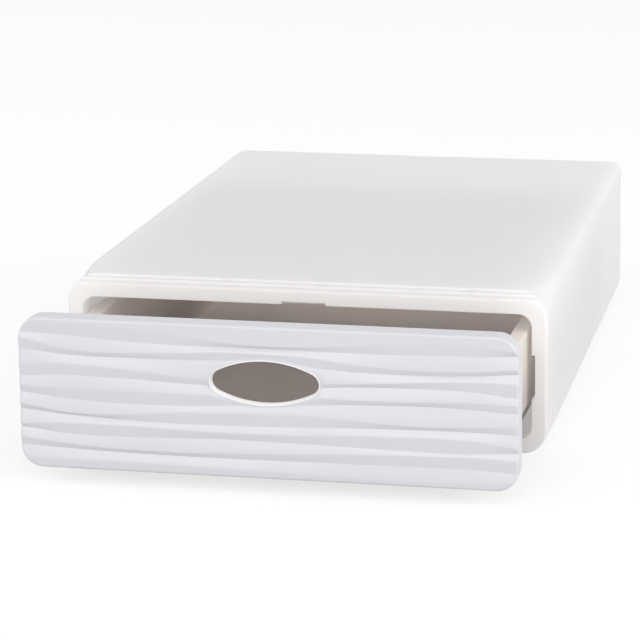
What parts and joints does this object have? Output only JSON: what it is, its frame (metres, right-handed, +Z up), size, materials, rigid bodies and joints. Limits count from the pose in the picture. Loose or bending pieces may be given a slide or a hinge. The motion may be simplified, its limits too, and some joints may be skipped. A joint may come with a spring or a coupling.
{
  "type": "stackable drawer box",
  "caption": "Low, wide stackable drawer box: a moulded case with a deep slide-in tray whose snapped-on front panel has a wave relief and an oval hand hole.",
  "frame": {"origin": "middle of the case's flat underside", "axes": "+Z up, the front panel faces -Y, +X to the right as seen from the front"},
  "size_m": [0.27, 0.4636, 0.0899],
  "materials": {
    "case": "satin warm white",
    "drawer_tray": "satin warm white",
    "front_panel": "satin cool white"
  },
  "bodies": {
    "case": {"case": "case"},
    "drawer": {"drawer_tray": "drawer_tray", "front_panel": "front_panel"}
  },
  "joints": [
    {"name": "drawer_slide", "type": "slide", "parent": "case", "child": "drawer", "axis": [0, -1, 0], "range_m": [-0.081, 0.179]}
  ]
}
